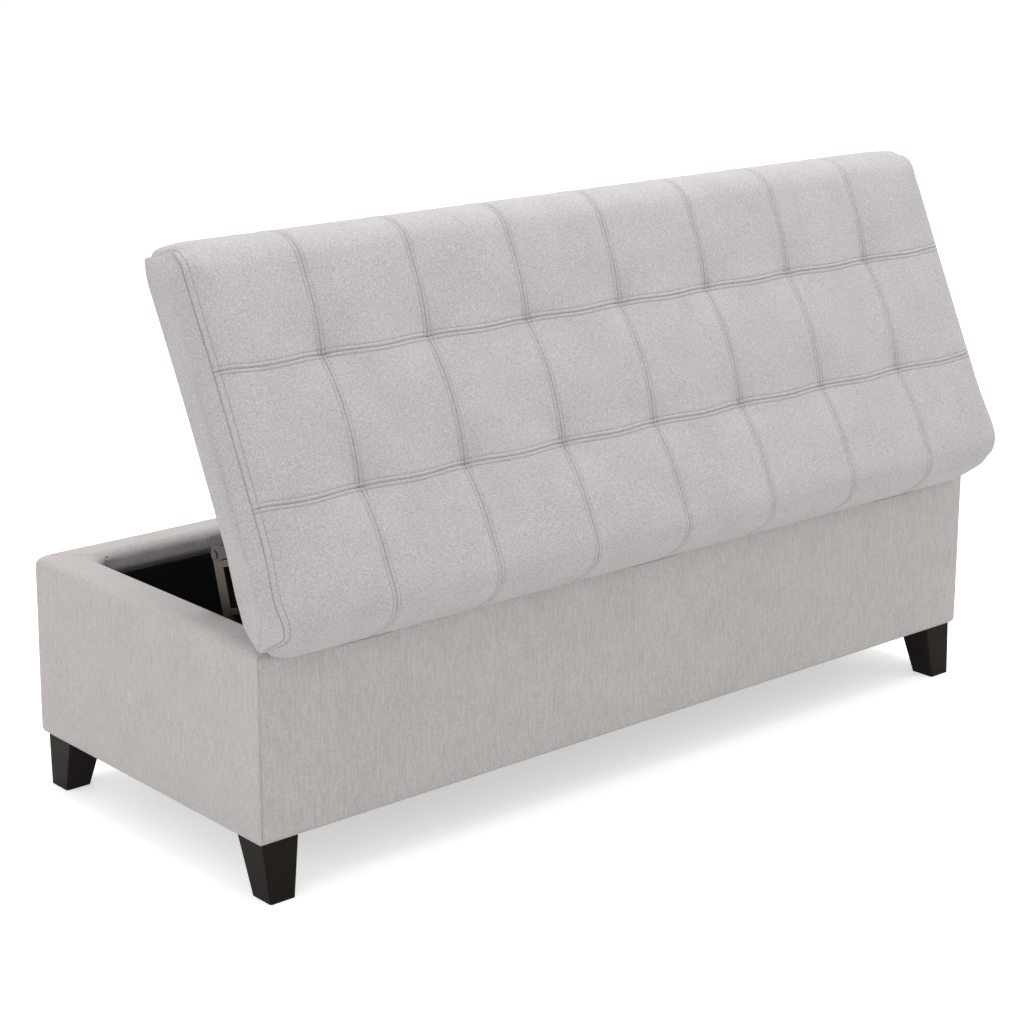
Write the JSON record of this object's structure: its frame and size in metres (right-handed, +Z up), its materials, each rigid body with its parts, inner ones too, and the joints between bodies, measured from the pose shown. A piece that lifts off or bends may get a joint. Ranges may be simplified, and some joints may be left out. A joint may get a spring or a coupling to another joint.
{
  "type": "storage bench",
  "caption": "Upholstered storage bench: a padded tufted lid, hinged at the back and held by spring stays, opens a fabric-covered box on tapered legs.",
  "frame": {"origin": "on the floor, under the middle of the box", "axes": "+X along the bench's length, +Y towards the hinged back, -Y towards the side that opens, +Z up"},
  "size_m": [1.303, 0.5753, 0.7864],
  "materials": {
    "cover_fabric": "matte",
    "foam": "matte",
    "plywood": "matte",
    "timber": "matte",
    "lining_board": "matte",
    "black_cloth": "matte",
    "leg_wood": "satin",
    "zinc_steel": "satin",
    "dark_steel": "satin",
    "spring_steel": "satin"
  },
  "bodies": {
    "box": {"front_board": "plywood", "back_board": "plywood", "left_board": "plywood", "right_board": "plywood", "front_rail": "timber", "back_rail": "timber", "left_rail": "timber", "right_rail": "timber", "front_lining": "lining_board", "back_lining": "lining_board", "left_lining": "lining_board", "right_lining": "lining_board", "corner_posts": "timber", "bottom_board": "plywood", "floor_lining": "black_cloth", "dust_cover": "black_cloth", "base_cover": "cover_fabric", "wall_padding": "foam", "rim_padding": "foam", "front_left_leg": "leg_wood", "front_right_leg": "leg_wood", "back_left_leg": "leg_wood", "back_right_leg": "leg_wood", "leg_bolts": "zinc_steel", "left_hinge_base_leaf": "zinc_steel", "middle_hinge_base_leaf": "zinc_steel", "right_hinge_base_leaf": "zinc_steel", "hinge_pins": "zinc_steel", "hinge_base_screws": "zinc_steel", "left_stay_plate": "dark_steel", "right_stay_plate": "dark_steel", "stay_pivot_rivets": "dark_steel", "stay_base_screws": "zinc_steel"},
    "lid": {"lid_board": "plywood", "lid_cushion": "foam", "lid_cover": "cover_fabric", "lid_lining": "black_cloth", "left_hinge_lid_leaf": "zinc_steel", "middle_hinge_lid_leaf": "zinc_steel", "right_hinge_lid_leaf": "zinc_steel", "hinge_lid_screws": "zinc_steel", "left_lid_bracket": "dark_steel", "right_lid_bracket": "dark_steel", "lid_pivot_rivets": "dark_steel", "stay_lid_screws": "zinc_steel"},
    "left_arm": {"left_stay_arm": "dark_steel", "left_stay_channel": "zinc_steel", "left_stay_spring_rod": "zinc_steel", "left_stay_spring": "spring_steel", "left_stay_elbow_rivet": "dark_steel"},
    "left_link": {"left_stay_link": "dark_steel"},
    "right_arm": {"right_stay_arm": "dark_steel", "right_stay_channel": "zinc_steel", "right_stay_spring_rod": "zinc_steel", "right_stay_spring": "spring_steel", "right_stay_elbow_rivet": "dark_steel"},
    "right_link": {"right_stay_link": "dark_steel"}
  },
  "joints": [
    {"name": "lid_hinge", "type": "hinge", "parent": "box", "child": "lid", "pos_m": [0, 0.2516, 0.312], "axis": [-1, 0, 0], "range_deg": [-64.5, 0]},
    {"name": "left_arm_pivot", "type": "hinge", "parent": "box", "child": "left_arm", "pos_m": [-0.5858, 0.114, 0.28], "axis": [-1, 0, 0], "range_deg": [-72.38, 0]},
    {"name": "left_link_pivot", "type": "hinge", "parent": "left_arm", "child": "left_link", "pos_m": [-0.5858, 0.0822, 0.39467], "axis": [-1, 0, 0], "range_deg": [0, 82.81]},
    {"name": "right_arm_pivot", "type": "hinge", "parent": "box", "child": "right_arm", "pos_m": [0.5858, 0.114, 0.28], "axis": [-1, 0, 0], "range_deg": [-72.38, 0]},
    {"name": "right_link_pivot", "type": "hinge", "parent": "right_arm", "child": "right_link", "pos_m": [0.5858, 0.0822, 0.39467], "axis": [-1, 0, 0], "range_deg": [0, 82.81]}
  ],
  "couplings": [
    {"joint": "left_arm_pivot", "follows": "lid_hinge", "ratio": 1.1206},
    {"joint": "left_link_pivot", "follows": "lid_hinge", "ratio": -1.2823},
    {"joint": "right_arm_pivot", "follows": "lid_hinge", "ratio": 1.1206},
    {"joint": "right_link_pivot", "follows": "lid_hinge", "ratio": -1.2823}
  ]
}
